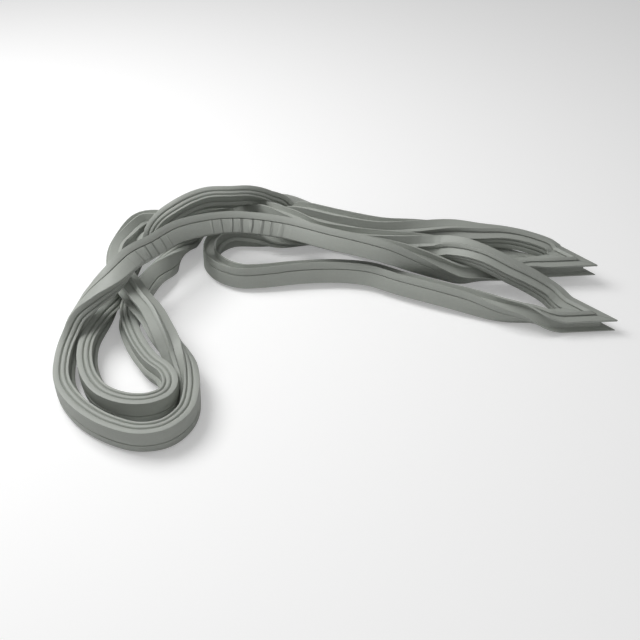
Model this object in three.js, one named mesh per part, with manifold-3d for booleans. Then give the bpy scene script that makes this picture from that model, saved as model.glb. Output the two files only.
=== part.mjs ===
import * as THREE from 'three';
import { mergeVertices } from 'three/addons/utils/BufferGeometryUtils.js';
import Module from 'manifold-3d';

// Refrigerator door gasket, lying loose in a heap as it is sold, in millimetres with Z up
const wasm = await Module();
wasm.setup();

// Profile sizes, measured across the strip and from the back of its flange towards the sealing face
const stripWidth = 24;
const flangeThickness = 2.2;
const grooveOpening = 2;
const grooveInset = 2.5;
const foldBand = 3.2;
const pocketDepth = 5.6;
const pocketWidth = 15.4;
const skinThickness = 0.9;

// Wing beside the pocket
const wingSlot = 1.0;
const wingSlotDepth = 2.2;
const wingRoot = 1.1;
const wingThickness = 1.2;
const wingDroop = 0.4;
const wingUnderside = 2.4;

// Dart on the back of the flange
const dartHeight = 4.5;
const dartStem = 3;
const dartBarb = 6;
const dartBarbLift = 1.6;

// Magnet strip, its play in the pocket and the vent
const magnetWidth = 11;
const magnetThickness = 2.6;
const magnetPlay = 0.3;
const ventDiameter = 2.6;
const ventOverrun = 1;
const ventSides = 8;

// Spacing of the rings along the strip
const longestStep = 90;
const bendPerStep = 0.7;
const twistPerStep = 84;
const finePerSpan = 24;
const legMargin = 5;

// Places derived from the profile sizes
const halfWidth = stripWidth / 2;
const foldStart = flangeThickness + grooveOpening;
const foldEnd = foldStart + foldBand;
const pocketBack = foldEnd + grooveOpening;
const profileDepth = pocketBack + pocketDepth;
const pocketEdge = halfWidth - pocketWidth;
const wingEdge = pocketEdge - wingSlot;
const bodyEdge = wingEdge - wingRoot;
const grooveEdge = halfWidth - grooveInset;
const pocketMiddle = (halfWidth + pocketEdge) / 2;
const cavityFront = profileDepth - skinThickness;
const cavityBack = cavityFront - magnetThickness - 2 * magnetPlay;
const magnetFront = cavityFront - magnetPlay;
const ventPlace = (grooveEdge + dartBarb / 2) / 2;

// Routes as they lie: x, y and height of the strip's middle, then the turn of the section in degrees,
// where 0 has the sealing face up and 180 has it down; each side runs from corner to corner
// Long side from the right-hand corner round the outer loop to the raised corner
const longSideAPoints = [
  [284, -9, 7.5, 180], [253, 26, 12, 180], [226, 29, 29, 180], [197, 33, 41, 178],
  [175, 48, 48, 168], [155, 67, 48, 150], [134, 87, 38, 128], [113, 93, 35, 112],
  [90, 94, 36, 100], [45, 103, 35, 88], [0, 113, 38, 80], [-35, 136, 40, 90],
  [-69, 163, 38, 100], [-104, 176, 26, 105], [-133, 151, 32, 105], [-160, 134, 35, 105],
  [-189, 150, 27, 100], [-216, 148, 25, 108], [-234, 104, 33, 135], [-230, 57, 40, 155],
  [-212, 28, 38, 168], [-198, 6, 36, 166], [-185, -16, 36, 165], [-171, -36, 35, 168],
  [-158, -59, 31, 178], [-142, -81, 20, 215], [-126, -109, 14, 255], [-120, -134, 13, 270],
  [-123, -162, 13, 270], [-139, -182, 13, 270], [-161, -187, 13, 270], [-187, -179, 13, 270],
  [-208, -166, 13, 270], [-228, -147, 13, 270], [-244, -122, 13, 270], [-251, -90, 14, 272],
  [-252, -62, 19, 285], [-247, -43, 32, 310], [-232, -27, 46, 340], [-214, -10, 58, 370],
  [-198, 19, 65, 398], [-181, 46, 62, 408], [-154, 84, 59, 412], [-102, 111, 53, 412],
  [-45, 108, 49, 412], [11, 86, 47, 412], [44, 76, 45, 418], [77, 67, 42, 432],
  [110, 62, 33, 460], [133, 60, 25, 476], [156, 57, 19, 488], [177, 59, 19, 498],
  [205, 59, 19, 510], [232, 68, 25, 528], [279, 67, 28, 540],
];

// Short side along the back
const shortSideAPoints = [
  [279, 67, 28, 180], [256, 95, 28, 180], [234, 107, 29, 180], [210, 114, 30, 177],
  [181, 115, 34, 163], [150, 120, 36, 140], [111, 122, 36, 115], [69, 123, 37, 98],
  [23, 138, 38, 88], [-24, 163, 34, 90], [-40, 175, 20, 120], [-60, 187, 10, 160],
  [-85, 201, 7.5, 180], [-128, 216, 7.5, 180],
];

// Long side round the inner loop and over the heap
const longSideBPoints = [
  [-128, 216, 7.5, 180], [-149, 176, 7.5, 180], [-158, 141, 8, 190], [-164, 111, 13, 238],
  [-173, 82, 14, 292], [-185, 61, 13, 320], [-194, 37, 13, 310], [-199, 12, 12, 295],
  [-199, -15, 12, 280], [-191, -43, 13, 270], [-178, -70, 13, 270], [-164, -91, 13, 270],
  [-152, -109, 13, 270], [-147, -126, 13, 270], [-149, -138, 13, 270], [-160, -145, 13, 270],
  [-179, -144, 13, 270], [-200, -133, 13, 270], [-216, -115, 13, 270], [-226, -88, 13, 272],
  [-230, -58, 13, 278], [-227, -25, 13, 295], [-224, 20, 12, 335], [-220, 70, 12, 358],
  [-214, 97, 15, 345], [-197, 117, 31, 328], [-166, 124, 60, 305], [-134, 144, 65, 298],
  [-103, 156, 60, 298], [-84, 183, 57, 305], [-64, 197, 42, 325], [-42, 206, 31, 345],
  [-15, 196, 17, 358], [20, 178, 12, 360], [60, 158, 12, 360], [100, 148, 12, 360],
  [143, 133, 12, 360], [220, 95, 12, 360],
];

// Short side round the small loop and along the front
const shortSideBPoints = [
  [220, 95, 12, 0], [136, 87, 12, 0], [88, 106, 12, 0], [50, 128, 12, 0],
  [18, 143, 12, 0], [-10, 147, 12, 10], [-47, 141, 13, 35], [-71, 146, 13, 72],
  [-105, 146, 13, 90], [-124, 127, 13, 90], [-126, 99, 13, 88], [-111, 75, 13, 85],
  [-89, 63, 13, 80], [-67, 63, 13, 75], [-22, 69, 14, 70], [22, 71, 14, 70],
  [56, 65, 14, 70], [88, 48, 14, 70], [130, 28, 14.5, 72], [161, 15, 13.5, 78],
  [191, 0, 14, 105], [217, -7, 13, 150], [240, -13, 8, 178], [284, -9, 7.5, 180],
];

const sides = [longSideAPoints, shortSideAPoints, longSideBPoints, shortSideBPoints];

function outlineOf(corners) {
  return corners.map(([across, depth]) => new THREE.Vector2(across, depth));
}

// Outer outline: flange with its dart, two folds on the inner side, pocket, wing and open outer side
function profileOutline() {
  const wingBack = profileDepth - wingDroop - wingThickness;
  const slotMiddle = pocketEdge - wingSlot / 2;
  return outlineOf([
    ...dartOutline(),
    [halfWidth, 0],
    [halfWidth, flangeThickness],
    [grooveEdge, flangeThickness + grooveOpening / 2],
    [halfWidth, foldStart],
    [halfWidth, foldEnd],
    [grooveEdge, foldEnd + grooveOpening / 2],
    [halfWidth, pocketBack],
    [halfWidth, profileDepth],
    [pocketEdge, profileDepth],
    [slotMiddle, profileDepth - wingSlotDepth],
    [wingEdge, profileDepth],
    [-halfWidth, profileDepth - wingDroop],
    [-halfWidth, wingBack],
    [bodyEdge, profileDepth - wingUnderside],
    [bodyEdge, flangeThickness + wingDroop],
    [-halfWidth, flangeThickness],
    [-halfWidth, 0],
  ]);
}

// Arrow-shaped dart that presses into the groove of the door
function dartOutline() {
  return [
    [-dartStem / 2, 0],
    [-dartStem / 2, -dartBarbLift],
    [-dartBarb / 2, -dartBarbLift],
    [0, -dartHeight],
    [dartBarb / 2, -dartBarbLift],
    [dartStem / 2, -dartBarbLift],
    [dartStem / 2, 0],
  ];
}

// Air chamber of the bellows, one skin inside the folds
function chamberOutline() {
  const inner = grooveEdge - skinThickness;
  const outer = bodyEdge + skinThickness;
  const front = cavityBack - skinThickness;
  return outlineOf([
    [outer, flangeThickness],
    [inner, flangeThickness],
    [inner, foldStart],
    [halfWidth - skinThickness, foldStart + skinThickness],
    [halfWidth - skinThickness, foldEnd - skinThickness],
    [inner, foldEnd],
    [inner, front],
    [outer, front],
  ]);
}

function rectangleOutline(width, back, front) {
  return outlineOf([
    [pocketMiddle - width / 2, back],
    [pocketMiddle + width / 2, back],
    [pocketMiddle + width / 2, front],
    [pocketMiddle - width / 2, front],
  ]);
}

function cavityOutline() {
  return rectangleOutline(magnetWidth + 2 * magnetPlay, cavityBack, cavityFront);
}

function magnetOutline() {
  return rectangleOutline(magnetWidth, magnetFront - magnetThickness, magnetFront);
}

function placeOf(row) {
  return new THREE.Vector3(row[0], row[1], row[2]);
}

// Level direction in which the strip leaves a corner towards a point
function levelDirection(corner, point) {
  const way = placeOf(point).sub(placeOf(corner));
  return way.setZ(0).normalize();
}

// Straight length that the mitre needs on each side of a corner
function legLength(incoming, outgoing) {
  const turn = incoming.angleTo(outgoing);
  return halfWidth * Math.tan(turn / 2) + legMargin;
}

function legRow(corner, direction, length) {
  const place = placeOf(corner).addScaledVector(direction, length);
  return [place.x, place.y, place.z, corner[3]];
}

// Across and front directions of the section for a travel direction and a turn in degrees
function sectionFrame(travel, turn) {
  const level = new THREE.Vector3().crossVectors(travel, new THREE.Vector3(0, 0, 1)).normalize();
  const above = new THREE.Vector3().crossVectors(level, travel);
  const angle = THREE.MathUtils.degToRad(turn);
  const front = above.clone().multiplyScalar(Math.cos(angle)).addScaledVector(level, Math.sin(angle));
  const across = above.clone().multiplyScalar(-Math.sin(angle)).addScaledVector(level, Math.cos(angle));
  return { front, across };
}

// One side with its two corners: directions at both ends and the curves along it
function sideOf(index) {
  const rows = sides[index];
  const before = sides[(index + sides.length - 1) % sides.length];
  const after = sides[(index + 1) % sides.length];
  const last = rows.length - 1;
  const leave = levelDirection(rows[0], rows[1]);
  const arrive = levelDirection(rows[last - 1], rows[last]);
  const arriveBefore = levelDirection(before[before.length - 2], before[before.length - 1]);
  const leaveAfter = levelDirection(after[0], after[1]);
  const firstLeg = legRow(rows[0], leave, legLength(arriveBefore, leave));
  const lastLeg = legRow(rows[last], arrive, -legLength(arrive, leaveAfter));
  const all = [rows[0], firstLeg, ...rows.slice(1, last), lastLeg, rows[last]];
  const route = new THREE.CatmullRomCurve3(all.map(placeOf), false, 'centripetal');
  const turns = all.map((row) => new THREE.Vector3(row[3], 0, 0));
  const turning = new THREE.CatmullRomCurve3(turns, false, 'catmullrom', 0.5);
  return { rows, leave, arriveBefore, route, turning, spans: all.length - 1 };
}

function ringAt(side, t) {
  const travel = side.route.getTangent(t);
  return { centre: side.route.getPoint(t), travel, ...sectionFrame(travel, side.turning.getPoint(t).x) };
}

// Ring places along a side, closer together where the strip bends or twists
function ringPlaces(side) {
  const from = 1 / side.spans;
  const to = 1 - from;
  const count = finePerSpan * (side.spans - 2);
  const places = [{ t: from, cost: 0 }];
  let cost = 0;
  for (let k = 1; k <= count; k += 1) {
    const t = from + ((to - from) * k) / count;
    const was = places[k - 1].t;
    const step = side.route.getPoint(t).distanceTo(side.route.getPoint(was));
    const bend = side.route.getTangent(t).angleTo(side.route.getTangent(was));
    const twist = Math.abs(side.turning.getPoint(t).x - side.turning.getPoint(was).x);
    cost += step / longestStep + bend / bendPerStep + twist / twistPerStep;
    places.push({ t, cost });
  }
  const rings = Math.ceil(cost);
  const chosen = [];
  for (let k = 0; k <= rings; k += 1) {
    chosen.push(places.find((place) => place.cost >= (cost * k) / rings - 1e-9).t);
  }
  return chosen;
}

// Ring in the mitre plane of the corner where a side starts
function cornerRing(side) {
  const corner = side.rows[0];
  const normal = side.arriveBefore.clone().add(side.leave).normalize();
  return { centre: placeOf(corner), travel: side.leave, normal, ...sectionFrame(side.leave, corner[3]) };
}

function sideRings(side) {
  return ringPlaces(side).map((t) => ringAt(side, t));
}

// Point of the section in space, slid along the strip into the mitre plane on a corner ring
function sectionPoint(ring, point) {
  const offset = ring.across.clone().multiplyScalar(point.x);
  offset.addScaledVector(ring.front, point.y - profileDepth / 2);
  if (ring.normal) {
    offset.addScaledVector(ring.travel, -offset.dot(ring.normal) / ring.travel.dot(ring.normal));
  }
  return offset.add(ring.centre);
}

// Skin between rings, with flat ends where the strip isn't a closed loop
function sweep(rings, outline, closed) {
  const positions = [];
  const index = [];
  const size = outline.length;
  for (const ring of rings) {
    for (const point of outline) {
      positions.push(...sectionPoint(ring, point).toArray());
    }
  }
  const spans = closed ? rings.length : rings.length - 1;
  for (let i = 0; i < spans; i += 1) {
    const here = i * size;
    const there = ((i + 1) % rings.length) * size;
    for (let j = 0; j < size; j += 1) {
      const next = (j + 1) % size;
      index.push(here + j, there + j, there + next);
      index.push(here + j, there + next, here + next);
    }
  }
  if (!closed) {
    const end = (rings.length - 1) * size;
    for (const [a, b, c] of THREE.ShapeUtils.triangulateShape(outline, [])) {
      index.push(a, b, c);
      index.push(end + a, end + c, end + b);
    }
  }
  const geometry = new THREE.BufferGeometry();
  geometry.setAttribute('position', new THREE.Float32BufferAttribute(positions, 3));
  geometry.setIndex(index);
  return geometry;
}

function solidOf(geometry) {
  geometry.deleteAttribute('normal');
  geometry.deleteAttribute('uv');
  const merged = mergeVertices(geometry);
  const vertProperties = new Float32Array(merged.attributes.position.array);
  const triVerts = new Uint32Array(merged.index.array);
  return new wasm.Manifold(new wasm.Mesh({ numProp: 3, vertProperties, triVerts }));
}

function geometryOf(solid) {
  const mesh = solid.getMesh();
  const geometry = new THREE.BufferGeometry();
  geometry.setAttribute('position', new THREE.Float32BufferAttribute(mesh.vertProperties, 3));
  geometry.setIndex(new THREE.Uint32BufferAttribute(mesh.triVerts, 1));
  geometry.computeVertexNormals();
  return geometry;
}

// Vent through the flange into the air chamber and on into the pocket, under the corner that lies flat
function ventSolid(side) {
  const corner = side.rows[0];
  const { front, across } = sectionFrame(side.leave, corner[3]);
  const leg = legLength(side.arriveBefore, side.leave);
  const height = cavityBack + 2 * ventOverrun;
  const place = placeOf(corner).addScaledVector(side.leave, leg * 0.75);
  place.addScaledVector(across, ventPlace);
  place.addScaledVector(front, height / 2 - ventOverrun - profileDepth / 2);
  const vent = new THREE.CylinderGeometry(ventDiameter / 2, ventDiameter / 2, height, ventSides);
  vent.applyQuaternion(new THREE.Quaternion().setFromUnitVectors(new THREE.Vector3(0, 1, 0), front));
  vent.translate(place.x, place.y, place.z);
  return solidOf(vent);
}

const builtSides = sides.map((_, index) => sideOf(index));
const ringsBySide = builtSides.map(sideRings);
const loopRings = builtSides.flatMap((side, index) => [cornerRing(side), ...ringsBySide[index]]);

function gasketGeometry() {
  const outer = solidOf(sweep(loopRings, profileOutline(), true));
  const chamber = solidOf(sweep(loopRings, chamberOutline(), true));
  const cavity = solidOf(sweep(loopRings, cavityOutline(), true));
  const vent = ventSolid(builtSides[3]);
  return geometryOf(outer.subtract(chamber).subtract(cavity).subtract(vent));
}

// The strips end where the straight legs of the corners begin
function magnetGeometry(index) {
  const geometry = sweep(ringsBySide[index], magnetOutline(), false);
  geometry.computeVertexNormals();
  return geometry;
}

const profileMaterial = new THREE.MeshStandardMaterial({ color: 0x8e918b, roughness: 0.55, metalness: 0 });
const magnetMaterial = new THREE.MeshStandardMaterial({ color: 0x2e2c2a, roughness: 0.8, metalness: 0 });

function part(name, geometry, material) {
  const mesh = new THREE.Mesh(geometry, material);
  mesh.name = name;
  return mesh;
}

const heap = new THREE.Group();
heap.add(part('gasket', gasketGeometry(), profileMaterial));
heap.add(part('magnet_long_a', magnetGeometry(0), magnetMaterial));
heap.add(part('magnet_short_a', magnetGeometry(1), magnetMaterial));
heap.add(part('magnet_long_b', magnetGeometry(2), magnetMaterial));
heap.add(part('magnet_short_b', magnetGeometry(3), magnetMaterial));

// The frame's origin is the middle of the footprint, on the surface that the gasket lies on
const box = new THREE.Box3().setFromObject(heap);
const middle = box.getCenter(new THREE.Vector3());
heap.position.set(-middle.x, -middle.y, -box.min.z);

const gasketInFrame = new THREE.Group();
gasketInFrame.add(heap);

export default gasketInFrame;
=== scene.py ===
"""Refrigerator door gasket in a loose heap: fine profile, magnet strips, materials and a plain studio."""

import math

import bpy
from bpy.props import FloatProperty, FloatVectorProperty, IntProperty, PointerProperty
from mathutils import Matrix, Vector


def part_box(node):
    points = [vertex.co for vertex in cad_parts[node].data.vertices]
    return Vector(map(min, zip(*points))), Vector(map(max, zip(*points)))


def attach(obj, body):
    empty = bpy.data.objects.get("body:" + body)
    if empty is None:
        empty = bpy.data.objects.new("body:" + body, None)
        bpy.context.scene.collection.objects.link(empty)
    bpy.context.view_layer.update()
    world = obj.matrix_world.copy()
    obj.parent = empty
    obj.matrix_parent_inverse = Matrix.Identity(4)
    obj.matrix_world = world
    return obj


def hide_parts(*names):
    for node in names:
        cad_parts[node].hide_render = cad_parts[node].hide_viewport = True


bl_info = {
    "name": "Refrigerator door gasket",
    "version": (1, 0, 0),
    "blender": (4, 5, 0),
    "location": "View3D > Sidebar > Gasket",
    "description": "Sweeps the gasket's profile along its route and sets its looks and a plain studio",
    "category": "Object",
}

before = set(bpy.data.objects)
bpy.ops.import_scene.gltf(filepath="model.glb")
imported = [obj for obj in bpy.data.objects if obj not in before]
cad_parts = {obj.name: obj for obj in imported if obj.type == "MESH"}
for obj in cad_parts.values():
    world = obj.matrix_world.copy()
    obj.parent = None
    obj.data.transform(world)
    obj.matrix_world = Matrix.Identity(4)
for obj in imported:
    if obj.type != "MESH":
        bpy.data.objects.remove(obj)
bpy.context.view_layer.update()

MM = 0.001
UP = Vector((0.0, 0.0, 1.0))

# Route of the strip's middle: x, y, height in millimetres and the section's turn in degrees
LONG_SIDE_A = [
    (284, -9, 7.5, 180), (250, 27, 14, 176), (228, 36, 25, 168), (204, 43, 35, 164),
    (177, 54, 44, 166), (155, 69, 44, 150), (134, 87, 36, 128), (113, 93, 35, 112),
    (90, 94, 36, 100), (45, 103, 35, 88), (0, 113, 38, 80), (-35, 136, 40, 90),
    (-69, 163, 35, 100), (-104, 175, 23, 105), (-133, 151, 32, 105), (-160, 134, 35, 105),
    (-189, 151, 30, 100), (-210, 151, 28, 108), (-224, 108, 28, 135), (-221, 62, 38, 155),
    (-212, 28, 38, 168), (-198, 6, 36, 166), (-185, -16, 36, 165), (-171, -36, 35, 168),
    (-158, -59, 31, 178), (-142, -81, 20, 215), (-126, -109, 14, 255), (-120, -134, 13, 270),
    (-123, -162, 13, 270), (-139, -182, 13, 270), (-161, -187, 13, 270), (-187, -179, 13, 270),
    (-208, -166, 13, 270), (-228, -147, 13, 270), (-244, -122, 13, 270), (-251, -90, 14, 272),
    (-252, -62, 19, 285), (-247, -43, 32, 310), (-232, -27, 46, 340), (-214, -10, 58, 370),
    (-198, 19, 65, 398), (-181, 46, 62, 408), (-154, 84, 59, 412), (-102, 111, 53, 412),
    (-45, 108, 49, 412), (11, 86, 47, 412), (44, 76, 45, 418), (77, 67, 42, 432),
    (110, 62, 33, 460), (133, 60, 25, 476), (156, 57, 19, 488), (177, 59, 19, 498),
    (205, 62, 17, 510), (234, 73, 17, 528), (284, 77, 18, 540),
]
SHORT_SIDE_A = [
    (284, 77, 18, 180), (262, 103, 21, 180), (236, 111, 27.5, 180), (211, 115, 31, 177),
    (181, 115, 34, 163), (150, 120, 36, 140), (111, 122, 36, 115), (69, 123, 37, 98),
    (23, 138, 38, 88), (-24, 163, 34, 90), (-40, 175, 20, 120), (-60, 187, 10, 160),
    (-85, 201, 7.5, 180), (-128, 216, 7.5, 180),
]
LONG_SIDE_B = [
    (-128, 216, 7.5, 180), (-149, 176, 7.5, 180), (-158, 141, 8, 190), (-164, 111, 13, 238),
    (-173, 82, 14, 292), (-185, 61, 13, 320), (-194, 37, 13, 310), (-199, 12, 12, 295),
    (-199, -15, 12, 280), (-191, -43, 13, 270), (-178, -70, 13, 270), (-164, -91, 13, 270),
    (-148, -107, 13, 270), (-141, -124, 13, 270), (-144, -139, 13, 270), (-158, -148, 13, 270),
    (-180, -148, 13, 270), (-203, -137, 13, 270), (-219, -117, 13, 270), (-230, -89, 13, 272),
    (-234, -58, 13, 278), (-230, -23, 13, 295), (-224, 20, 12, 335), (-219, 68, 12, 358),
    (-214, 97, 15, 345), (-197, 117, 31, 328), (-166, 124, 60, 305), (-134, 144, 65, 298),
    (-103, 156, 60, 298), (-84, 171, 53, 312), (-64, 187, 40, 328), (-42, 199, 28, 345),
    (-15, 194, 17, 358), (20, 178, 12, 360), (60, 158, 12, 360), (100, 148, 12, 360),
    (143, 133, 12, 360), (220, 95, 12, 360),
]
SHORT_SIDE_B = [
    (220, 95, 12, 0), (136, 87, 12, 0), (88, 106, 12, 0), (50, 128, 12, 0),
    (18, 143, 12, 0), (-10, 147, 12, 10), (-47, 141, 13, 35), (-71, 146, 13, 72),
    (-105, 146, 13, 90), (-124, 127, 13, 90), (-126, 99, 13, 88), (-111, 75, 13, 85),
    (-89, 63, 13, 80), (-67, 63, 13, 75), (-22, 69, 14, 70), (22, 71, 14, 70),
    (56, 65, 14, 70), (88, 48, 14, 70), (130, 28, 14.5, 72), (161, 15, 13.5, 78),
    (191, 0, 14, 105), (216, -6, 13, 128), (241, -12, 9, 166), (284, -9, 7.5, 180),
]
SIDES = [LONG_SIDE_A, SHORT_SIDE_A, LONG_SIDE_B, SHORT_SIDE_B]
MAGNET_NODES = ["magnet_long_a", "magnet_short_a", "magnet_long_b", "magnet_short_b"]

# Profile in millimetres, across the strip and in depth from the flange's back
STRIP_WIDTH = 24.0
FLANGE_THICKNESS = 2.2
GROOVE_OPENING = 2.0
GROOVE_INSET = 2.5
FOLD_BAND = 3.2
POCKET_DEPTH = 5.6
POCKET_WIDTH = 15.4
SKIN_THICKNESS = 0.9
WING_SLOT = 1.0
WING_SLOT_DEPTH = 2.2
WING_ROOT = 1.1
WING_THICKNESS = 1.2
WING_DROOP = 0.4
WING_UNDERSIDE = 2.4
ROOT_RADIUS = 0.5
FLANGE_RISE = 0.4
DART_HEIGHT = 4.5
DART_STEM = 3.0
DART_BARB = 6.0
DART_BARB_LIFT = 1.6
MAGNET_WIDTH = 11.0
MAGNET_THICKNESS = 2.6
MAGNET_PLAY = 0.3
LEG_MARGIN = 5.0

# Places in the profile that follow from the sizes
EDGE = STRIP_WIDTH / 2
GROOVE_BOTTOM = EDGE - GROOVE_INSET
FOLD_START = FLANGE_THICKNESS + GROOVE_OPENING
FOLD_END = FOLD_START + FOLD_BAND
POCKET_START = FOLD_END + GROOVE_OPENING
PROFILE_DEPTH = POCKET_START + POCKET_DEPTH
POCKET_EDGE = EDGE - POCKET_WIDTH
SLOT_EDGE = POCKET_EDGE - WING_SLOT
ROOT_EDGE = SLOT_EDGE - WING_ROOT
WING_TIP = PROFILE_DEPTH - WING_DROOP
CAVITY_TOP = PROFILE_DEPTH - SKIN_THICKNESS
CAVITY_BOTTOM = CAVITY_TOP - MAGNET_THICKNESS - 2 * MAGNET_PLAY
CHAMBER_TOP = CAVITY_BOTTOM - SKIN_THICKNESS
MAGNET_MIDDLE = (EDGE + POCKET_EDGE) / 2
MAGNET_REACH = MAGNET_WIDTH / 2
CAVITY_REACH = MAGNET_REACH + MAGNET_PLAY

# Corners of the profile: across, depth and the radius that eases the corner
DART = [
    (-DART_STEM / 2, 0.0, 0.3), (-DART_STEM / 2, -DART_BARB_LIFT, 0.2),
    (-DART_BARB / 2, -DART_BARB_LIFT, 0.25), (0.0, -DART_HEIGHT, 0.5), (DART_BARB / 2, -DART_BARB_LIFT, 0.25),
    (DART_STEM / 2, -DART_BARB_LIFT, 0.2), (DART_STEM / 2, 0.0, 0.3),
]
FOLDS = [
    (EDGE, 0.0, 0.5), (EDGE, FLANGE_THICKNESS, 0.5),
    (GROOVE_BOTTOM, FLANGE_THICKNESS + GROOVE_OPENING / 2, 0.3), (EDGE, FOLD_START, 0.8),
    (EDGE, FOLD_END, 0.8), (GROOVE_BOTTOM, FOLD_END + GROOVE_OPENING / 2, 0.3), (EDGE, POCKET_START, 0.8),
]
POCKET = [
    (EDGE, PROFILE_DEPTH, 1.1), (POCKET_EDGE, PROFILE_DEPTH, 0.7),
    (POCKET_EDGE - WING_SLOT / 2, PROFILE_DEPTH - WING_SLOT_DEPTH, 0.2),
]
WING = [
    (SLOT_EDGE, PROFILE_DEPTH, 0.4), (-EDGE, WING_TIP, 0.35), (-EDGE, WING_TIP - WING_THICKNESS, 0.4),
    (ROOT_EDGE, PROFILE_DEPTH - WING_UNDERSIDE, ROOT_RADIUS),
]
OPEN_SIDE = [
    (ROOT_EDGE, FLANGE_THICKNESS + FLANGE_RISE, 0.4), (-EDGE, FLANGE_THICKNESS, 0.35), (-EDGE, 0.0, 0.5),
]
OUTLINE = DART + FOLDS + POCKET + WING + OPEN_SIDE

# Hollows, with sharp corners
CHAMBER = [
    (ROOT_EDGE + SKIN_THICKNESS, FLANGE_THICKNESS), (GROOVE_BOTTOM - SKIN_THICKNESS, FLANGE_THICKNESS),
    (GROOVE_BOTTOM - SKIN_THICKNESS, FOLD_START), (EDGE - SKIN_THICKNESS, FOLD_START + SKIN_THICKNESS),
    (EDGE - SKIN_THICKNESS, FOLD_END - SKIN_THICKNESS), (GROOVE_BOTTOM - SKIN_THICKNESS, FOLD_END),
    (GROOVE_BOTTOM - SKIN_THICKNESS, CHAMBER_TOP), (ROOT_EDGE + SKIN_THICKNESS, CHAMBER_TOP),
]
CAVITY = [
    (MAGNET_MIDDLE - CAVITY_REACH, CAVITY_BOTTOM), (MAGNET_MIDDLE + CAVITY_REACH, CAVITY_BOTTOM),
    (MAGNET_MIDDLE + CAVITY_REACH, CAVITY_TOP), (MAGNET_MIDDLE - CAVITY_REACH, CAVITY_TOP),
]
MAGNET = [
    (MAGNET_MIDDLE - MAGNET_REACH, CAVITY_BOTTOM + MAGNET_PLAY, 0.3),
    (MAGNET_MIDDLE + MAGNET_REACH, CAVITY_BOTTOM + MAGNET_PLAY, 0.3),
    (MAGNET_MIDDLE + MAGNET_REACH, CAVITY_TOP - MAGNET_PLAY, 0.3),
    (MAGNET_MIDDLE - MAGNET_REACH, CAVITY_TOP - MAGNET_PLAY, 0.3),
]

# Creased stretches of the sealing face: side, first row and last row of the route
CREASED = [(0, 39.7, 41.7), (0, 42.4, 44.3)]
FACE_BAND = 0.5

# How finely the route is measured, how far either way its direction is taken, in spans, and the least step
ROUTE_FINENESS = 40
LOOK = 0.02
TINY = 1e-6
COARSE_STEP = 0.02
EASE_LIMIT = 0.45

# Two slow waves of the wing along the strip, in radians a metre
WING_WAVES = (41, 97)

# Looks: noise scales and stretches over the map (along, around), heights and ranges in metres
BROAD_TONE = 14.0
FINE_TONE = 420.0
DIE_STRETCH = (3.0, 900.0, 1.0)
FINE_DIE_STRETCH = (12.0, 3800.0, 1.0)
WRINKLE_STRETCH = (150.0, 22.0, 1.0)
BEND_RANGE = (0.04, 0.35)
CREASE_RATE = 520.0
CREASE_WAVER = 5.0
CREASE_POWER = 2.5
CREASE_HEIGHT = 1.8
WELD_RANGE = (0.0009, 0.0002)
PROFILE_UNEVENNESS = 0.12
PROFILE_LINE_DEPTH = 0.00012
MAGNET_ROUGHNESS = 0.8
MAGNET_UNEVENNESS = 0.3
MAGNET_LINE_DEPTH = 0.00005
MAGNET_WRINKLE_DEPTH = 0.0001
VINYL_SPECULAR = 0.45

# Studio, in metres
FLOOR_DROP = 0.0005
FLOOR_COLOR = (0.82, 0.82, 0.82)
FLOOR_LIFT = 0.28
KEY_PLACE, KEY_SIZE = (-0.75, 0.25, 1.05), 0.8
FILL_PLACE, FILL_SIZE = (0.4, -1.3, 1.1), 1.4
LENS, SENSOR_WIDTH = 50.0, 36.0
WHITE = (1.0, 1.0, 1.0, 1.0)


class GasketSettings(bpy.types.PropertyGroup):
    """Sizes and looks of the soft profile"""

    ring_step: FloatProperty(name="Ring step", description="Distance between two rings of the sweep",
                             default=0.0044, min=0.002, max=0.02, unit="LENGTH")
    wing_wave: FloatProperty(name="Wing wave", description="How far the thin wing wavers along the strip",
                             default=0.0006, min=0.0, max=0.002, unit="LENGTH")
    smooth_angle: FloatProperty(name="Smooth angle", description="Edges sharper than this stay sharp",
                                default=math.radians(38), min=0.0, max=math.pi, subtype="ANGLE")
    color: FloatVectorProperty(name="Profile colour", description="Colour of the soft profile",
                               default=(0.40, 0.42, 0.385), size=3, min=0.0, max=1.0, subtype="COLOR")
    roughness: FloatProperty(name="Roughness", description="Roughness of the soft profile",
                             default=0.5, min=0.0, max=1.0, subtype="FACTOR")
    wrinkle_depth: FloatProperty(name="Wrinkle depth", description="Height of the wrinkles inside the bends",
                                 default=0.0011, min=0.0, max=0.003, unit="LENGTH")


class MagnetSettings(bpy.types.PropertyGroup):
    """Looks and ends of the magnet strips"""

    color: FloatVectorProperty(name="Magnet colour", description="Colour of the magnet strips",
                               default=(0.03, 0.028, 0.026), size=3, min=0.0, max=1.0, subtype="COLOR")
    end_gap: IntProperty(name="Rings left free",
                         description="Rings between a corner's leg and the strip's end",
                         default=1, min=0, max=10)


class StudioSettings(bpy.types.PropertyGroup):
    """Floor, lamps, sky and camera"""

    floor_size: FloatProperty(name="Floor size", description="Width of the white floor",
                              default=12.0, min=2.0, max=40.0, unit="LENGTH")
    key_power: FloatProperty(name="Key power", description="Power of the soft lamp on the left",
                             default=13.0, min=0.0, max=200.0, unit="POWER")
    fill_power: FloatProperty(name="Fill power", description="Power of the lamp in front",
                              default=3.5, min=0.0, max=200.0, unit="POWER")
    sky: FloatProperty(name="Sky", description="Strength of the even surrounding light",
                       default=0.2, min=0.0, max=3.0)
    camera_distance: FloatProperty(name="Camera distance", description="From the camera to its aim",
                                   default=0.95, min=0.3, max=5.0, unit="LENGTH")
    camera_tilt: FloatProperty(name="Camera tilt", description="Angle of the view above the horizon",
                               default=math.radians(38), min=0.0, max=math.pi / 2, subtype="ANGLE")


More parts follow.
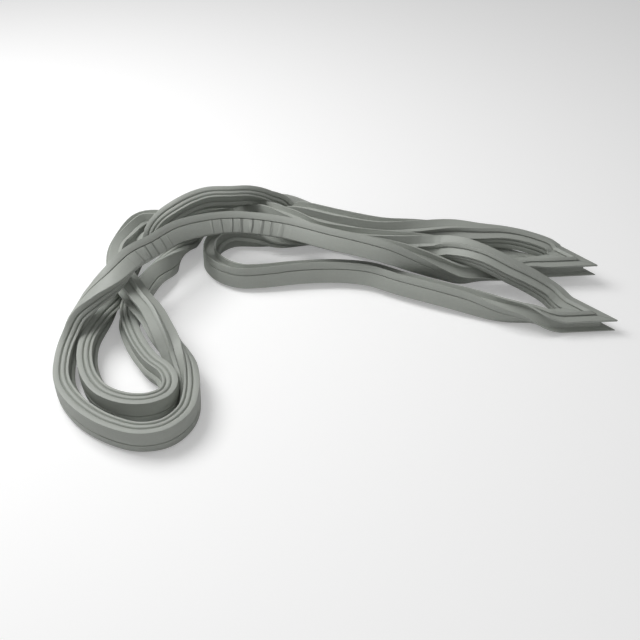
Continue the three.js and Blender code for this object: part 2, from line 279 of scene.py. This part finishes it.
class Ring:
    """One section of the sweep: its middle, its directions and its place along the strip."""

    def __init__(self, centre, travel, turn, along, from_weld, normal=None, curve=None, crease=0.0):
        self.centre = centre
        self.travel = travel
        self.along = along
        self.from_weld = from_weld
        self.normal = normal
        self.curve = curve or Vector((0.0, 0.0, 0.0))
        self.crease = crease
        level = travel.cross(UP).normalized()
        above = level.cross(travel)
        self.front = above * math.cos(turn) + level * math.sin(turn)
        self.across = level * math.cos(turn) - above * math.sin(turn)

    def offset(self, across, depth):
        """Offset of a section point from the middle, slid into the mitre plane on a corner ring."""
        way = self.across * across + self.front * (depth - PROFILE_DEPTH * MM / 2)
        if self.normal:
            way -= self.travel * (way.dot(self.normal) / self.travel.dot(self.normal))
        return way


def place(row):
    """Place of a route row, in metres."""
    return Vector(row[:3]) * MM


def level_direction(start, end):
    """Level direction from one route row to another."""
    way = place(end) - place(start)
    way.z = 0.0
    return way.normalized()


def leg_length(arrive, leave):
    """Length of the straight leg that a mitred corner needs."""
    return (EDGE * math.tan(arrive.angle(leave) / 2) + LEG_MARGIN) * MM


def centripetal(points, at):
    """Point on the centripetal curve through points, at counted in spans."""
    span = min(int(at), len(points) - 2)
    w = at - span
    p1, p2 = points[span], points[span + 1]
    p0 = points[span - 1] if span else 2 * p1 - p2
    p3 = points[span + 2] if span + 2 < len(points) else 2 * p2 - p1
    d0 = max((p1 - p0).length ** 0.5, TINY)
    d1 = max((p2 - p1).length ** 0.5, TINY)
    d2 = max((p3 - p2).length ** 0.5, TINY)
    t1 = ((p1 - p0) / d0 - (p2 - p0) / (d0 + d1) + (p2 - p1) / d1) * d1
    t2 = ((p2 - p1) / d1 - (p3 - p1) / (d1 + d2) + (p3 - p2) / d2) * d1
    return p1 + t1 * w + (3 * (p2 - p1) - 2 * t1 - t2) * w ** 2 + (2 * (p1 - p2) + t1 + t2) * w ** 3


def even_curve(values, at):
    """Value on the even curve through values, at counted in spans."""
    span = min(int(at), len(values) - 2)
    w = at - span
    v1, v2 = values[span], values[span + 1]
    v0 = values[span - 1] if span else 2 * v1 - v2
    v3 = values[span + 2] if span + 2 < len(values) else 2 * v2 - v1
    m1, m2 = (v2 - v0) / 2, (v3 - v1) / 2
    return v1 + m1 * w + (3 * (v2 - v1) - 2 * m1 - m2) * w ** 2 + (2 * (v1 - v2) + m1 + m2) * w ** 3


def crease_at(side, row):
    """How strongly the sealing face is creased at a row of a side's route, from 0 to 1."""
    spans = [(row - first) / (last - first) for which, first, last in CREASED if which == side]
    return max([math.sin(math.pi * part) for part in spans if 0 < part < 1], default=0.0)


def side_rings(index, step, along):
    """Rings of one side, from its first corner to the end of its last leg."""
    rows = SIDES[index]
    before, after = SIDES[index - 1], SIDES[(index + 1) % len(SIDES)]
    leave, arrive = level_direction(rows[0], rows[1]), level_direction(rows[-2], rows[-1])
    arrive_before = level_direction(before[-2], before[-1])
    leave_after = level_direction(after[0], after[1])
    first_leg, last_leg = leg_length(arrive_before, leave), leg_length(arrive, leave_after)
    corner, end = place(rows[0]), place(rows[-1])
    points = [corner, corner + leave * first_leg] + [place(r) for r in rows[1:-1]]
    points += [end - arrive * last_leg, end]
    turns = [math.radians(row[3]) for row in [rows[0], *rows, rows[-1]]]
    stops = [1 + k / ROUTE_FINENESS for k in range((len(points) - 3) * ROUTE_FINENESS + 1)]
    lengths = [0.0]
    for a, b in zip(stops, stops[1:]):
        lengths.append(lengths[-1] + (centripetal(points, b) - centripetal(points, a)).length)
    count = round(lengths[-1] / step)
    normal = (arrive_before + leave).normalized()
    rings = [Ring(corner, leave, turns[0], along, 0.0, normal)]
    k = 0
    for n in range(count + 1):
        target = lengths[-1] * n / count
        while k < len(lengths) - 2 and lengths[k + 1] < target:
            k += 1
        part = (target - lengths[k]) / max(lengths[k + 1] - lengths[k], TINY)
        at = stops[k] + part / ROUTE_FINENESS
        ahead = centripetal(points, min(at + LOOK, len(points) - 1)) - centripetal(points, at)
        behind = centripetal(points, at) - centripetal(points, at - LOOK)
        travel = (ahead.normalized() + behind.normalized()).normalized()
        curve = (ahead.normalized() - behind.normalized()) * 2 / (ahead.length + behind.length)
        from_weld = min(first_leg + target, last_leg + lengths[-1] - target)
        rings.append(Ring(centripetal(points, at), travel, even_curve(turns, at), along + first_leg + target,
                          from_weld, None, curve, crease_at(index, at - 1)))
    return rings, along + first_leg + lengths[-1] + last_leg


def loop_rings(step):
    """Rings of the whole loop, side by side, and its length."""
    sides, along = [], 0.0
    for index in range(len(SIDES)):
        rings, along = side_rings(index, step, along)
        sides.append(rings)
    return sides, along


def rounded(corners):
    """Outline in metres with each corner eased by its radius."""
    points = []
    for k, (across, depth, radius) in enumerate(corners):
        here = Vector((across, depth))
        back = Vector(corners[k - 1][:2]) - here
        ahead = Vector(corners[(k + 1) % len(corners)][:2]) - here
        start = here + back.normalized() * min(radius, back.length * EASE_LIMIT)
        stop = here + ahead.normalized() * min(radius, ahead.length * EASE_LIMIT)
        points += [start * MM, (start + stop + 2 * here) / 4 * MM, stop * MM]
    return points


def frame_shift(rings, outline):
    """Move that brings the swept strip onto the frame's own gasket."""
    low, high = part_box("gasket")
    places = [ring.centre + ring.offset(*point) for ring in rings for point in outline[::3]]
    middle = [(min(p[k] for p in places) + max(p[k] for p in places)) / 2 for k in range(2)]
    lowest = min(p.z for p in places)
    return Vector(((low[0] + high[0]) / 2 - middle[0], (low[1] + high[1]) / 2 - middle[1], low[2] - lowest))


class Skin:
    """Vertices, faces, map and marks of a swept surface, gathered before the mesh is made."""

    def __init__(self):
        self.points, self.faces, self.map = [], [], []
        self.welds, self.bends, self.creases = [], [], []

    def sweep(self, rings, outline, shift, length, closed=True, inward=False, wave=0.0):
        """Adds the surface of an outline along rings; closed joins the last ring to the first."""
        start, size = len(self.points), len(outline)
        around = [0.0]
        for a, b in zip(outline, outline[1:] + outline[:1]):
            around.append(around[-1] + (b - a).length)
        for ring in rings:
            for across, depth in outline:
                if wave and across < (ROOT_EDGE - ROOT_RADIUS) * MM and depth > POCKET_START * MM:
                    depth -= wave * (1 + self.swing(ring.along)) / 2
                offset = ring.offset(across, depth)
                self.points.append(ring.centre + offset + shift)
                self.welds.append(ring.from_weld)
                self.bends.append(max(0.0, ring.curve.dot(offset)))
                on_face = depth > (PROFILE_DEPTH - FACE_BAND) * MM and across > POCKET_EDGE * MM
                self.creases.append(ring.crease if on_face else 0.0)
        spans = len(rings) if closed else len(rings) - 1
        for i in range(spans):
            a, b = start + i * size, start + (i + 1) % len(rings) * size
            u0 = rings[i].along
            u1 = rings[i + 1].along if i + 1 < len(rings) else length
            for j in range(size):
                n = (j + 1) % size
                face = (a + j, b + j, b + n, a + n)
                marks = ((u0, around[j]), (u1, around[j]), (u1, around[j + 1]), (u0, around[j + 1]))
                self.faces.append(face[::-1] if inward else face)
                self.map.append(marks[::-1] if inward else marks)
        if not closed:
            self.cap(start, size, around, rings[0].along, False)
            self.cap(start + (len(rings) - 1) * size, size, around, rings[-1].along, True)

    def swing(self, along):
        """Two slow waves multiplied, from -1 to 1."""
        slow, quick = WING_WAVES
        return math.sin(along * slow) * math.sin(along * quick + 1)

    def cap(self, start, size, around, along, far):
        """Flat end of an open strip."""
        order = list(range(size))
        if far:
            order.reverse()
        self.faces.append(tuple(start + k for k in order))
        self.map.append(tuple((along, around[k]) for k in order))

    def finish(self, name, material, angle):
        """Makes the object with its map, its marks and its material."""
        mesh = bpy.data.meshes.new(name)
        mesh.from_pydata(self.points, [], self.faces)
        layer = mesh.uv_layers.new(name="Strip")
        layer.data.foreach_set("uv", [value for face in self.map for mark in face for value in mark])
        for title, values in (("from_weld", self.welds), ("bend", self.bends), ("crease", self.creases)):
            mesh.attributes.new(title, "FLOAT", "POINT").data.foreach_set("value", values)
        mesh.validate()
        mesh.update()
        piece = bpy.data.objects.new(name, mesh)
        bpy.context.scene.collection.objects.link(piece)
        mesh.materials.append(material)
        bpy.ops.object.select_all(action="DESELECT")
        piece.select_set(True)
        bpy.context.view_layer.objects.active = piece
        bpy.ops.object.shade_smooth_by_angle(angle=angle)
        return piece


def node_group(name, inputs, outputs):
    """New shader group with its sockets; returns the group and its input and output nodes."""
    group = bpy.data.node_groups.new(name, "ShaderNodeTree")
    for title, kind, default in inputs:
        socket = group.interface.new_socket(title, in_out="INPUT", socket_type=kind)
        if default is not None:
            socket.default_value = default
    for title, kind in outputs:
        group.interface.new_socket(title, in_out="OUTPUT", socket_type=kind)
    return group, group.nodes.new("NodeGroupInput"), group.nodes.new("NodeGroupOutput")


def math_node(nodes, links, operation, first, second):
    """Math node whose inputs are sockets or numbers; returns its output."""
    node = nodes.new("ShaderNodeMath")
    node.operation = operation
    for socket, value in zip(node.inputs, (first, second)):
        if isinstance(value, (int, float)):
            socket.default_value = value
        else:
            links.new(value, socket)
    return node.outputs[0]


def noise_node(nodes, links, vector, scale, stretch=(1.0, 1.0, 1.0), detail=3.0):
    """Noise over a mapped vector; returns its factor."""
    mapping = nodes.new("ShaderNodeMapping")
    mapping.inputs["Scale"].default_value = stretch
    links.new(vector, mapping.inputs["Vector"])
    noise = nodes.new("ShaderNodeTexNoise")
    noise.inputs["Scale"].default_value = scale
    noise.inputs["Detail"].default_value = detail
    links.new(mapping.outputs["Vector"], noise.inputs["Vector"])
    return noise.outputs["Fac"]


def tone_group():
    """Handled, slightly uneven surface: varies a colour's value and its roughness."""
    group, start, end = node_group(
        "Handled tone",
        [("Color", "NodeSocketColor", (0.3, 0.3, 0.3, 1.0)), ("Roughness", "NodeSocketFloat", 0.5),
         ("Amount", "NodeSocketFloat", 0.1), ("Vector", "NodeSocketVector", None)],
        [("Color", "NodeSocketColor"), ("Roughness", "NodeSocketFloat")])
    nodes, links = group.nodes, group.links
    broad = noise_node(nodes, links, start.outputs["Vector"], BROAD_TONE)
    fine = noise_node(nodes, links, start.outputs["Vector"], FINE_TONE, detail=5.0)
    both = math_node(nodes, links, "ADD", broad, fine)
    shift = math_node(nodes, links, "SUBTRACT", both, 1.0)
    scaled = math_node(nodes, links, "MULTIPLY", shift, start.outputs["Amount"])
    value = math_node(nodes, links, "ADD", scaled, 1.0)
    tint = nodes.new("ShaderNodeHueSaturation")
    links.new(value, tint.inputs["Value"])
    links.new(start.outputs["Color"], tint.inputs["Color"])
    links.new(tint.outputs["Color"], end.inputs["Color"])
    rough = math_node(nodes, links, "ADD", start.outputs["Roughness"], scaled)
    links.new(rough, end.inputs["Roughness"])
    return group


def die_line_group():
    """Fine lines that the die leaves along the strip."""
    group, start, end = node_group("Die lines", [("Map", "NodeSocketVector", None)],
                                   [("Height", "NodeSocketFloat")])
    nodes, links = group.nodes, group.links
    coarse = noise_node(nodes, links, start.outputs["Map"], 1.0, DIE_STRETCH)
    fine = noise_node(nodes, links, start.outputs["Map"], 1.0, FINE_DIE_STRETCH, 1.0)
    links.new(math_node(nodes, links, "ADD", coarse, fine), end.inputs["Height"])
    return group


def wrinkle_group():
    """Cross wrinkles where a bend presses the strip together, sharper creases, and the ridge of the weld."""
    group, start, end = node_group("Press wrinkles", [("Map", "NodeSocketVector", None)],
                                   [("Height", "NodeSocketFloat"), ("Weld", "NodeSocketFloat")])
    nodes, links = group.nodes, group.links
    folds = noise_node(nodes, links, start.outputs["Map"], 1.0, WRINKLE_STRETCH, 2.0)
    bend = nodes.new("ShaderNodeAttribute")
    bend.attribute_name = "bend"
    pressed = nodes.new("ShaderNodeMapRange")
    pressed.inputs["From Min"].default_value, pressed.inputs["From Max"].default_value = BEND_RANGE
    links.new(bend.outputs["Fac"], pressed.inputs["Value"])
    height = math_node(nodes, links, "MULTIPLY", folds, pressed.outputs["Result"])
    along = nodes.new("ShaderNodeSeparateXYZ")
    links.new(start.outputs["Map"], along.inputs["Vector"])
    waver = math_node(nodes, links, "MULTIPLY", folds, CREASE_WAVER)
    steady = math_node(nodes, links, "MULTIPLY", along.outputs["X"], CREASE_RATE)
    phase = math_node(nodes, links, "ADD", steady, waver)
    crest = math_node(nodes, links, "MAXIMUM", math_node(nodes, links, "SINE", phase, 0.0), 0.0)
    sharp = math_node(nodes, links, "POWER", crest, CREASE_POWER)
    crease = nodes.new("ShaderNodeAttribute")
    crease.attribute_name = "crease"
    deep = math_node(nodes, links, "MULTIPLY", sharp, CREASE_HEIGHT)
    creased = math_node(nodes, links, "MULTIPLY", deep, crease.outputs["Fac"])
    links.new(math_node(nodes, links, "ADD", height, creased), end.inputs["Height"])
    weld = nodes.new("ShaderNodeAttribute")
    weld.attribute_name = "from_weld"
    ridge = nodes.new("ShaderNodeMapRange")
    ridge.inputs["From Min"].default_value, ridge.inputs["From Max"].default_value = WELD_RANGE
    links.new(weld.outputs["Fac"], ridge.inputs["Value"])
    links.new(ridge.outputs["Result"], end.inputs["Weld"])
    return group


def add_group(nodes, group):
    """Node that shows a group in a material."""
    node = nodes.new("ShaderNodeGroup")
    node.node_tree = group
    return node


def surface_material(name, color, roughness, amount, line_depth, wrinkle_depth):
    """Soft or pressed material with uneven tone, die lines, wrinkles and a weld ridge."""
    material = bpy.data.materials.new(name)
    material.use_nodes = True
    nodes, links = material.node_tree.nodes, material.node_tree.links
    shader = nodes["Principled BSDF"]
    coordinates = nodes.new("ShaderNodeTexCoord")
    tone = add_group(nodes, bpy.data.node_groups.get("Handled tone") or tone_group())
    tone.inputs["Color"].default_value = (*color, 1.0)
    tone.inputs["Roughness"].default_value = roughness
    tone.inputs["Amount"].default_value = amount
    links.new(coordinates.outputs["Object"], tone.inputs["Vector"])
    lines = add_group(nodes, bpy.data.node_groups.get("Die lines") or die_line_group())
    links.new(coordinates.outputs["UV"], lines.inputs["Map"])
    wrinkles = add_group(nodes, bpy.data.node_groups.get("Press wrinkles") or wrinkle_group())
    links.new(coordinates.outputs["UV"], wrinkles.inputs["Map"])
    line_bump = nodes.new("ShaderNodeBump")
    line_bump.inputs["Distance"].default_value = line_depth
    links.new(lines.outputs["Height"], line_bump.inputs["Height"])
    fold_bump = nodes.new("ShaderNodeBump")
    fold_bump.inputs["Distance"].default_value = wrinkle_depth
    links.new(wrinkles.outputs["Height"], fold_bump.inputs["Height"])
    links.new(line_bump.outputs["Normal"], fold_bump.inputs["Normal"])
    weld_bump = nodes.new("ShaderNodeBump")
    weld_bump.inputs["Distance"].default_value = wrinkle_depth / 2
    links.new(wrinkles.outputs["Weld"], weld_bump.inputs["Height"])
    links.new(fold_bump.outputs["Normal"], weld_bump.inputs["Normal"])
    links.new(weld_bump.outputs["Normal"], shader.inputs["Normal"])
    links.new(tone.outputs["Color"], shader.inputs["Base Color"])
    links.new(tone.outputs["Roughness"], shader.inputs["Roughness"])
    shader.inputs["Specular IOR Level"].default_value = VINYL_SPECULAR
    return material


def floor_material(name, color, emission):
    """Matt material; emission lifts only what the camera sees of it."""
    material = bpy.data.materials.new(name)
    material.use_nodes = True
    nodes, links = material.node_tree.nodes, material.node_tree.links
    shader = nodes["Principled BSDF"]
    shader.inputs["Base Color"].default_value = (*color, 1.0)
    shader.inputs["Roughness"].default_value = 1.0
    shader.inputs["Specular IOR Level"].default_value = 0.0
    path = nodes.new("ShaderNodeLightPath")
    links.new(math_node(nodes, links, "MULTIPLY", path.outputs["Is Camera Ray"], emission),
              shader.inputs["Emission Strength"])
    shader.inputs["Emission Color"].default_value = WHITE
    return material


def strip_shift(sides):
    """All rings in one list, and the move that brings them onto the frame's gasket."""
    rings = [ring for side in sides for ring in side]
    return rings, frame_shift(rings, rounded(OUTLINE))


class GASKET_OT_profile(bpy.types.Operator):
    """Sweeps the hollow profile round the welded loop"""

    bl_idname = "gasket.profile"
    bl_label = "Build profile"

    def execute(self, context):
        settings = context.scene.gasket
        sides, length = loop_rings(settings.ring_step)
        rings, shift = strip_shift(sides)
        skin = Skin()
        skin.sweep(rings, rounded(OUTLINE), shift, length, wave=settings.wing_wave)
        for hollow in (CHAMBER, CAVITY):
            skin.sweep(rings, [Vector(p) * MM for p in hollow], shift, length, inward=True)
        material = surface_material("Soft profile", settings.color, settings.roughness, PROFILE_UNEVENNESS,
                                    PROFILE_LINE_DEPTH, settings.wrinkle_depth)
        piece = skin.finish("gasket_profile", material, settings.smooth_angle)
        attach(piece, "root")
        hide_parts("gasket")
        return {"FINISHED"}


class GASKET_OT_magnets(bpy.types.Operator):
    """Lays the magnet strips in the pocket of each side"""

    bl_idname = "gasket.magnets"
    bl_label = "Build magnet strips"

    def execute(self, context):
        settings = context.scene.gasket_magnets
        sides, length = loop_rings(context.scene.gasket.ring_step)
        _, shift = strip_shift(sides)
        material = surface_material("Pressed magnet", settings.color, MAGNET_ROUGHNESS, MAGNET_UNEVENNESS,
                                    MAGNET_LINE_DEPTH, MAGNET_WRINKLE_DEPTH)
        for node, side in zip(MAGNET_NODES, sides):
            skin = Skin()
            rings = side[1 + settings.end_gap:len(side) - settings.end_gap]
            skin.sweep(rings, rounded(MAGNET), shift, length, closed=False)
            piece = skin.finish(node + "_strip", material, context.scene.gasket.smooth_angle)
            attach(piece, "root")
            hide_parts(node)
        return {"FINISHED"}


class GASKET_OT_studio(bpy.types.Operator):
    """Sets the white floor, the soft lamps, the even sky and the camera"""

    bl_idname = "gasket.studio"
    bl_label = "Build studio"

    def execute(self, context):
        settings = context.scene.gasket_studio
        bpy.ops.object.select_all(action="DESELECT")
        bpy.ops.mesh.primitive_plane_add(size=settings.floor_size, location=(0.0, 0.0, -FLOOR_DROP))
        floor = context.active_object
        floor.name = "floor"
        floor.data.materials.append(floor_material("White floor", FLOOR_COLOR, FLOOR_LIFT))
        self.lamp("key", KEY_PLACE, KEY_SIZE, settings.key_power)
        self.lamp("fill", FILL_PLACE, FILL_SIZE, settings.fill_power)
        self.sky(context.scene, settings.sky)
        self.camera(context.scene, settings)
        context.scene.view_settings.view_transform = "Standard"
        return {"FINISHED"}

    def lamp(self, name, location, size, power):
        """Square soft lamp that faces the object."""
        bpy.ops.object.light_add(type="AREA", location=location)
        lamp = bpy.context.active_object
        lamp.name = name
        lamp.data.size = size
        lamp.data.energy = power
        lamp.rotation_euler = (-Vector(location)).to_track_quat("-Z", "Y").to_euler()

    def sky(self, scene, strength):
        """Even light all round, white where the camera sees it."""
        world = bpy.data.worlds.new("Studio")
        world.use_nodes = True
        scene.world = world
        nodes, links = world.node_tree.nodes, world.node_tree.links
        background = nodes["Background"]
        background.inputs["Color"].default_value = WHITE
        path = nodes.new("ShaderNodeLightPath")
        seen = math_node(nodes, links, "MULTIPLY", path.outputs["Is Camera Ray"], 1.0 - strength)
        links.new(math_node(nodes, links, "ADD", seen, strength), background.inputs["Strength"])

    def camera(self, scene, settings):
        """Camera of the photograph's view, aimed at the middle of the heap's picture."""
        sides, _ = loop_rings(COARSE_STEP)
        _, shift = strip_shift(sides)
        back = Vector((0.0, -math.cos(settings.camera_tilt), math.sin(settings.camera_tilt)))
        bpy.ops.object.camera_add(location=shift + back * settings.camera_distance,
                                  rotation=(math.pi / 2 - settings.camera_tilt, 0.0, 0.0))
        scene.camera = bpy.context.active_object
        scene.camera.data.lens = LENS
        scene.camera.data.sensor_width = SENSOR_WIDTH


class GASKET_PT_panel(bpy.types.Panel):
    bl_label = "Refrigerator door gasket"
    bl_space_type = "VIEW_3D"
    bl_region_type = "UI"
    bl_category = "Gasket"

    def draw(self, context):
        layout = self.layout
        groups = ((context.scene.gasket, "gasket.profile", GasketSettings),
                  (context.scene.gasket_magnets, "gasket.magnets", MagnetSettings),
                  (context.scene.gasket_studio, "gasket.studio", StudioSettings))
        for settings, operator, group in groups:
            for title in group.__annotations__:
                layout.prop(settings, title)
            layout.operator(operator)


CLASSES = (GasketSettings, MagnetSettings, StudioSettings, GASKET_OT_profile, GASKET_OT_magnets,
           GASKET_OT_studio, GASKET_PT_panel)


def register():
    for item in CLASSES:
        bpy.utils.register_class(item)
    bpy.types.Scene.gasket = PointerProperty(type=GasketSettings)
    bpy.types.Scene.gasket_magnets = PointerProperty(type=MagnetSettings)
    bpy.types.Scene.gasket_studio = PointerProperty(type=StudioSettings)


def unregister():
    del bpy.types.Scene.gasket_studio
    del bpy.types.Scene.gasket_magnets
    del bpy.types.Scene.gasket
    for item in reversed(CLASSES):
        bpy.utils.unregister_class(item)


def main():
    register()
    bpy.ops.gasket.profile()
    bpy.ops.gasket.magnets()
    bpy.ops.gasket.studio()


if __name__ == "__main__":
    main()
